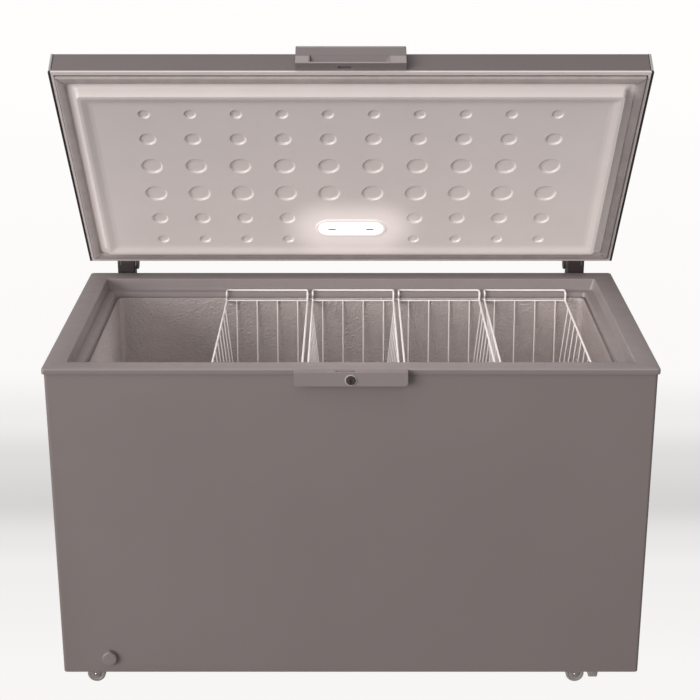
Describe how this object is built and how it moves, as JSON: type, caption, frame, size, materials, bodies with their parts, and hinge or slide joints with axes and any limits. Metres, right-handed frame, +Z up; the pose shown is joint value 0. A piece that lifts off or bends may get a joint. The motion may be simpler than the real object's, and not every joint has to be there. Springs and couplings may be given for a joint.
{
  "type": "chest freezer",
  "caption": "Large chest freezer on castors, lid held open, with a stepped liner, hanging wire baskets, key lock, lid lamp and drain.",
  "frame": {"origin": "on the floor under the middle of the bounding box: x = 0 is the cabinet's plane of symmetry", "axes": "+Z up, +X to the right and -Y towards a user who stands at the front; the lid is held 55 degrees open at rest"},
  "size_m": [1.405, 0.7831, 1.5162],
  "materials": {
    "body_paint": "satin",
    "rim_plastic": "satin",
    "liner_sheet": "satin",
    "lid_plastic": "satin",
    "seal_rubber": "matte",
    "foam": "matte",
    "steel": "satin",
    "wire_coat": "satin",
    "dark_plastic": "satin",
    "wheel_plastic": "satin",
    "chrome": "polished",
    "black_paint": "satin",
    "copper": "satin",
    "rubber": "matte",
    "lamp_lens": "satin",
    "board": "satin"
  },
  "bodies": {
    "cabinet": {"base_pan": "steel", "bay_panel": "steel", "compressor": "black_paint", "compressor_mount_1": "rubber", "compressor_mount_2": "rubber", "compressor_mount_3": "rubber", "compressor_mount_4": "rubber", "discharge_tube": "copper", "drain_pipe": "lid_plastic", "filter_drier": "copper", "foot_block": "wheel_plastic", "hinge_bracket_left": "steel", "hinge_bracket_right": "steel", "hinge_cover_left": "dark_plastic", "hinge_cover_right": "dark_plastic", "hinge_pin_left": "steel", "hinge_pin_right": "steel", "hinge_spring_left": "steel", "hinge_spring_right": "steel", "inner_liner": "liner_sheet", "insulation_foam": "foam", "lock_plate": "rim_plastic", "lock_ring": "chrome", "mains_gland": "dark_plastic", "outer_shell": "body_paint", "rim_collar": "rim_plastic", "side_grille": "dark_plastic", "start_relay": "dark_plastic", "suction_tube": "copper", "thermostat_body": "dark_plastic", "wall_spacer_left": "dark_plastic", "wall_spacer_right": "dark_plastic"},
    "lid": {"lid_skin": "body_paint", "lid_panel": "lid_plastic", "lid_foam": "foam", "lid_gasket": "seal_rubber", "lamp_bezel": "lid_plastic", "lamp_lens": "lamp_lens", "led_board": "board", "lid_handle": "rim_plastic", "hinge_arm_left": "dark_plastic", "hinge_arm_right": "dark_plastic"},
    "lock_barrel": {"lock_barrel": "black_paint"},
    "lock_bolt": {"lock_bolt": "steel"},
    "drain_cap": {"drain_cap": "rim_plastic"},
    "drain_plug": {"drain_plug": "rubber"},
    "thermostat_knob": {"thermostat_knob": "rim_plastic"},
    "basket_1": {"basket_1": "wire_coat"},
    "basket_2": {"basket_2": "wire_coat"},
    "basket_3": {"basket_3": "wire_coat"},
    "basket_4": {"basket_4": "wire_coat"},
    "castor_fork_front_left": {"castor_fork_front_left": "steel"},
    "castor_wheel_front_left": {"castor_wheel_front_left": "wheel_plastic"},
    "castor_fork_front_right": {"castor_fork_front_right": "steel"},
    "castor_wheel_front_right": {"castor_wheel_front_right": "wheel_plastic"},
    "castor_fork_rear_left": {"castor_fork_rear_left": "steel"},
    "castor_wheel_rear_left": {"castor_wheel_rear_left": "wheel_plastic"},
    "castor_fork_rear_right": {"castor_fork_rear_right": "steel"},
    "castor_wheel_rear_right": {"castor_wheel_rear_right": "wheel_plastic"}
  },
  "joints": [
    {"name": "lid_hinge", "type": "hinge", "parent": "cabinet", "child": "lid", "pos_m": [0, 0.364, 0.8652], "axis": [-1, 0, 0], "range_deg": [-55, 25]},
    {"name": "lock_turn", "type": "hinge", "parent": "cabinet", "child": "lock_barrel", "pos_m": [0, -0.396, 0.8235], "axis": [0, -1, 0], "range_deg": [0, 90]},
    {"name": "bolt_lift", "type": "slide", "parent": "cabinet", "child": "lock_bolt", "axis": [0, 0, 1], "range_m": [0, 0.022]},
    {"name": "drain_cap_turn", "type": "hinge", "parent": "cabinet", "child": "drain_cap", "pos_m": [-0.584, -0.3718, 0.0913], "axis": [0, -1, 0], "range_deg": [0, 180]},
    {"name": "drain_plug_pull", "type": "slide", "parent": "cabinet", "child": "drain_plug", "axis": [0, 0, 1], "range_m": [0, 0.06]},
    {"name": "thermostat_turn", "type": "hinge", "parent": "cabinet", "child": "thermostat_knob", "pos_m": [0.685, -0.13, 0.18], "axis": [1, 0, 0], "range_deg": [0, 270]},
    {"name": "basket_1_slide", "type": "slide", "parent": "cabinet", "child": "basket_1", "axis": [1, 0, 0], "range_m": [-0.26, 0]},
    {"name": "basket_2_lift", "type": "slide", "parent": "cabinet", "child": "basket_2", "axis": [0, 0, 1], "range_m": [0, 0.085]},
    {"name": "basket_3_lift", "type": "slide", "parent": "cabinet", "child": "basket_3", "axis": [0, 0, 1], "range_m": [0, 0.085]},
    {"name": "basket_4_lift", "type": "slide", "parent": "cabinet", "child": "basket_4", "axis": [0, 0, 1], "range_m": [0, 0.085]},
    {"name": "castor_front_left_swivel", "type": "hinge", "parent": "cabinet", "child": "castor_fork_front_left", "pos_m": [-0.602, -0.326, 0.045], "axis": [0, 0, 1], "continuous": true},
    {"name": "castor_front_left_roll", "type": "hinge", "parent": "castor_fork_front_left", "child": "castor_wheel_front_left", "pos_m": [-0.626, -0.326, 0.022], "axis": [0, 1, 0], "continuous": true},
    {"name": "castor_front_right_swivel", "type": "hinge", "parent": "cabinet", "child": "castor_fork_front_right", "pos_m": [0.527, -0.326, 0.045], "axis": [0, 0, 1], "continuous": true},
    {"name": "castor_front_right_roll", "type": "hinge", "parent": "castor_fork_front_right", "child": "castor_wheel_front_right", "pos_m": [0.551, -0.326, 0.022], "axis": [0, 1, 0], "continuous": true},
    {"name": "castor_rear_left_swivel", "type": "hinge", "parent": "cabinet", "child": "castor_fork_rear_left", "pos_m": [-0.602, 0.269, 0.045], "axis": [0, 0, 1], "continuous": true},
    {"name": "castor_rear_left_roll", "type": "hinge", "parent": "castor_fork_rear_left", "child": "castor_wheel_rear_left", "pos_m": [-0.626, 0.269, 0.022], "axis": [0, 1, 0], "continuous": true},
    {"name": "castor_rear_right_swivel", "type": "hinge", "parent": "cabinet", "child": "castor_fork_rear_right", "pos_m": [0.575, 0.269, 0.045], "axis": [0, 0, 1], "continuous": true},
    {"name": "castor_rear_right_roll", "type": "hinge", "parent": "castor_fork_rear_right", "child": "castor_wheel_rear_right", "pos_m": [0.551, 0.269, 0.022], "axis": [0, 1, 0], "continuous": true}
  ],
  "couplings": [
    {"joint": "bolt_lift", "follows": "lock_turn", "m_per_rad": 0.014005}
  ]
}
